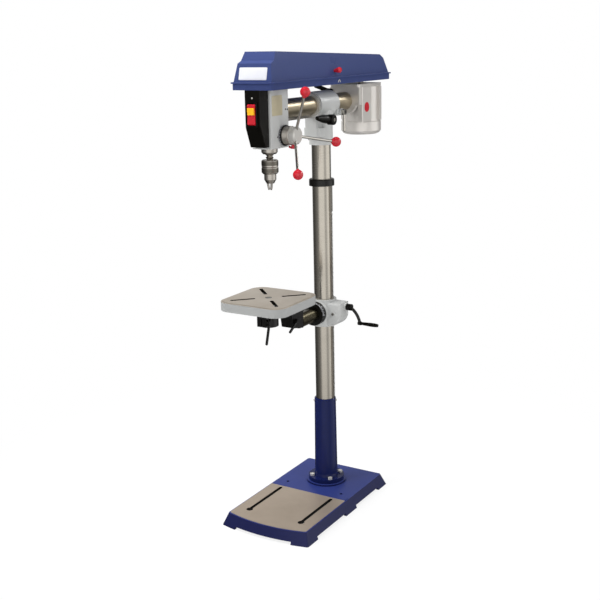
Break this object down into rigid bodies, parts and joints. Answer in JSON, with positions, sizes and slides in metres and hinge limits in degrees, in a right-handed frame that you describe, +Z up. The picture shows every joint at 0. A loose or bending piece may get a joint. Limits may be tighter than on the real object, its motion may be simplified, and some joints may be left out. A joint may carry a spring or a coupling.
{
  "type": "radial drill press",
  "caption": "Floor-standing radial drill press: swinging and tilting head on a sliding ram, belt drive under a hinged cover, rack-raised tilting table, slotted cast base",
  "frame": {"origin": "on the column's axis, in the plane of the base's feet", "axes": "+Z up along the column, -Y to the operator's side where the chuck stands, +X to the operator's right where the feed handles stand"},
  "size_m": [0.4014, 0.885, 1.643],
  "materials": {
    "blue_enamel": "gloss enamel",
    "grey_enamel": "satin enamel",
    "black_enamel": "satin enamel",
    "silver_enamel": "painted casting",
    "ground_steel": "ground",
    "machined_steel": "machined",
    "oiled_steel": "polished and oiled",
    "bright_chrome": "polished",
    "machined_iron": "machined top",
    "cast_aluminium": "satin",
    "black_plastic": "matt",
    "red_plastic": "gloss",
    "yellow_plastic": "gloss",
    "black_rubber": "matt"
  },
  "bodies": {
    "stand": {"base_casting": "blue_enamel", "column_sleeve": "blue_enamel", "stand_screws": "machined_steel", "column_tube": "ground_steel", "rack_collar": "black_enamel"},
    "rack": {"column_rack": "machined_steel"},
    "carriage": {"table_bracket": "grey_enamel", "trunnion_tube": "oiled_steel", "tilt_scale_ring": "black_enamel", "gear_pin": "machined_steel"},
    "lift_worm": {"worm_shaft": "machined_steel", "crank_arm": "black_enamel"},
    "crank_handle": {"crank_grip": "black_plastic"},
    "lift_wheel": {"lift_gear": "machined_steel"},
    "carriage_clamp": {"carriage_lock": "black_enamel"},
    "arm": {"table_arm": "black_enamel"},
    "arm_clamp": {"arm_lock": "black_enamel"},
    "table_clamp": {"table_lock": "black_enamel"},
    "work_table": {"table": "machined_iron"},
    "head_carrier": {"head_bracket": "grey_enamel", "ram_scale_ring": "cast_aluminium"},
    "swing_clamp": {"swing_lock": "machined_steel"},
    "ram_clamp": {"ram_lock": "bright_chrome"},
    "ram_drive": {"ram_pinion": "machined_steel", "ram_handle": "black_plastic"},
    "ram": {"ram_rack": "machined_steel"},
    "head": {"ram_tube": "oiled_steel", "head_casting": "grey_enamel", "switch_box": "black_plastic", "return_spring": "machined_steel", "spring_case": "black_enamel", "pulley_bearings": "machined_steel", "motor_bracket": "silver_enamel", "motor_can": "silver_enamel", "motor_end_bell": "silver_enamel", "terminal_cover": "silver_enamel", "v_belt": "black_rubber", "belt_pan": "blue_enamel", "motor_cable": "black_rubber"},
    "lid": {"belt_lid": "blue_enamel", "lid_knob": "red_plastic"},
    "motor_drive": {"motor_rotor": "machined_steel", "motor_pulley": "cast_aluminium"},
    "drive_pulley": {"spindle_pulley": "cast_aluminium"},
    "feed": {"feed_shaft": "machined_steel", "feed_hub": "grey_enamel", "feed_rods": "bright_chrome", "feed_knobs": "red_plastic"},
    "depth_stop": {"depth_ring": "black_enamel"},
    "depth_clamp": {"depth_lock": "red_plastic"},
    "quill_set": {"quill": "ground_steel", "quill_bearings": "machined_steel"},
    "spindle_set": {"spindle": "machined_steel", "chuck_body": "bright_chrome"},
    "chuck_ring": {"chuck_sleeve": "bright_chrome"},
    "jaw_1": {"chuck_jaw_1": "machined_steel"},
    "jaw_2": {"chuck_jaw_2": "machined_steel"},
    "jaw_3": {"chuck_jaw_3": "machined_steel"},
    "paddle": {"switch_paddle": "red_plastic"},
    "key": {"switch_key": "yellow_plastic"}
  },
  "joints": [
    {"name": "table_swing", "type": "hinge", "parent": "stand", "child": "rack", "pos_m": [0, 0, 0.714], "axis": [0, 0, 1], "continuous": true},
    {"name": "table_lift", "type": "slide", "parent": "rack", "child": "carriage", "axis": [0, 0, 1], "range_m": [-0.28, 0.353]},
    {"name": "lift_crank", "type": "hinge", "parent": "carriage", "child": "lift_worm", "pos_m": [0.0974, 0, 0.73525], "axis": [-1, 0, 0], "range_deg": [-26967.79, 21391]},
    {"name": "crank_grip_spin", "type": "hinge", "parent": "lift_worm", "child": "crank_handle", "pos_m": [0.1554, 0, 0.68025], "axis": [1, 0, 0], "continuous": true},
    {"name": "lift_gear_turn", "type": "hinge", "parent": "carriage", "child": "lift_wheel", "pos_m": [0.05675, 0, 0.71], "axis": [0, 1, 0], "range_deg": [-1173.06, 930.59]},
    {"name": "carriage_lock_turn", "type": "hinge", "parent": "carriage", "child": "carriage_clamp", "pos_m": [-0.016, 0.06, 0.714], "axis": [1, 0, 0], "range_deg": [-25, 25]},
    {"name": "table_tilt", "type": "hinge", "parent": "carriage", "child": "arm", "pos_m": [0, -0.183, 0.714], "axis": [0, 1, 0], "range_deg": [-90, 90]},
    {"name": "arm_lock_turn", "type": "hinge", "parent": "arm", "child": "arm_clamp", "pos_m": [0.024, -0.237, 0.73], "axis": [1, 0, 0], "range_deg": [-25, 25]},
    {"name": "table_lock_turn", "type": "hinge", "parent": "arm", "child": "table_clamp", "pos_m": [0.018, -0.401, 0.7655], "axis": [1, 0, 0], "range_deg": [-25, 25]},
    {"name": "table_turn", "type": "hinge", "parent": "arm", "child": "work_table", "pos_m": [0, -0.365, 0.842], "axis": [0, 0, 1], "continuous": true},
    {"name": "head_swing", "type": "hinge", "parent": "stand", "child": "head_carrier", "pos_m": [0, 0, 1.317], "axis": [0, 0, 1], "range_deg": [-180, 180]},
    {"name": "swing_lock_turn", "type": "hinge", "parent": "head_carrier", "child": "swing_clamp", "pos_m": [-0.05, 0.024, 1.336], "axis": [1, 0, 0], "range_deg": [-20, 20]},
    {"name": "ram_lock_turn", "type": "hinge", "parent": "head_carrier", "child": "ram_clamp", "pos_m": [0.053, 0.062, 1.426], "axis": [1, 0, 0], "range_deg": [-12, 30]},
    {"name": "ram_feed", "type": "hinge", "parent": "head_carrier", "child": "ram_drive", "pos_m": [0.0583, -0.05, 1.4075], "axis": [1, 0, 0], "range_deg": [-751.78, 548.07]},
    {"name": "ram_slide", "type": "slide", "parent": "head_carrier", "child": "ram", "axis": [0, -1, 0], "range_m": [-0.118, 0.086]},
    {"name": "head_tilt", "type": "hinge", "parent": "ram", "child": "head", "pos_m": [0, -0.298, 1.456], "axis": [0, 1, 0], "range_deg": [-90, 45]},
    {"name": "lid_open", "type": "hinge", "parent": "head", "child": "lid", "pos_m": [-0.0868, 0, 1.54755], "axis": [0, -1, 0], "range_deg": [0, 100]},
    {"name": "motor_spin", "type": "hinge", "parent": "head", "child": "motor_drive", "pos_m": [0, 0.3, 1.534], "axis": [0, 0, 1], "continuous": true},
    {"name": "pulley_spin", "type": "hinge", "parent": "head", "child": "drive_pulley", "pos_m": [0, -0.333, 1.534], "axis": [0, 0, 1], "continuous": true},
    {"name": "feed_turn", "type": "hinge", "parent": "head", "child": "feed", "pos_m": [0.0466, -0.30306, 1.376], "axis": [1, 0, 0], "range_deg": [0, 458.94], "stiffness_Nm_per_rad": 0.15, "springref_deg": -229.18},
    {"name": "quill_slide", "type": "slide", "parent": "head", "child": "quill_set", "axis": [0, 0, -1], "range_m": [0, 0.08]},
    {"name": "spindle_spin", "type": "hinge", "parent": "quill_set", "child": "spindle_set", "pos_m": [0, -0.333, 1.3177], "axis": [0, 0, 1], "continuous": true},
    {"name": "depth_ring_turn", "type": "hinge", "parent": "feed", "child": "depth_stop", "pos_m": [0.0383, -0.30306, 1.376], "axis": [1, 0, 0], "range_deg": [-150, 150]},
    {"name": "depth_lock_turn", "type": "hinge", "parent": "feed", "child": "depth_clamp", "pos_m": [0.072, -0.30306, 1.3465], "axis": [0, 0, 1], "range_deg": [-90, 90]},
    {"name": "chuck_turn", "type": "hinge", "parent": "spindle_set", "child": "chuck_ring", "pos_m": [0, -0.333, 1.2527], "axis": [0, 0, 1], "range_deg": [0, 286.48]},
    {"name": "jaw_1_slide", "type": "slide", "parent": "spindle_set", "child": "jaw_1", "axis": [0, 0.1736, 0.9848], "range_m": [0, 0.01]},
    {"name": "jaw_2_slide", "type": "slide", "parent": "spindle_set", "child": "jaw_2", "axis": [-0.1504, -0.0868, 0.9848], "range_m": [0, 0.01]},
    {"name": "jaw_3_slide", "type": "slide", "parent": "spindle_set", "child": "jaw_3", "axis": [0.1504, -0.0868, 0.9848], "range_m": [0, 0.01]},
    {"name": "switch_tip", "type": "hinge", "parent": "head", "child": "paddle", "pos_m": [0, -0.4215, 1.45], "axis": [1, 0, 0], "range_deg": [-7, 7]},
    {"name": "key_pull", "type": "slide", "parent": "paddle", "child": "key", "axis": [0, -1, 0], "range_m": [0, 0.018]}
  ],
  "couplings": [
    {"joint": "lift_crank", "follows": "table_lift", "rad_per_m": -1333.3},
    {"joint": "lift_gear_turn", "follows": "table_lift", "rad_per_m": -57.971},
    {"joint": "ram_feed", "follows": "ram_slide", "rad_per_m": 111.11},
    {"joint": "pulley_spin", "follows": "motor_spin", "ratio": 0.71739},
    {"joint": "feed_turn", "follows": "quill_slide", "rad_per_m": 100},
    {"joint": "spindle_spin", "follows": "motor_spin", "ratio": 0.71739},
    {"joint": "jaw_1_slide", "follows": "chuck_turn", "m_per_rad": 0.002},
    {"joint": "jaw_2_slide", "follows": "chuck_turn", "m_per_rad": 0.002},
    {"joint": "jaw_3_slide", "follows": "chuck_turn", "m_per_rad": 0.002}
  ]
}
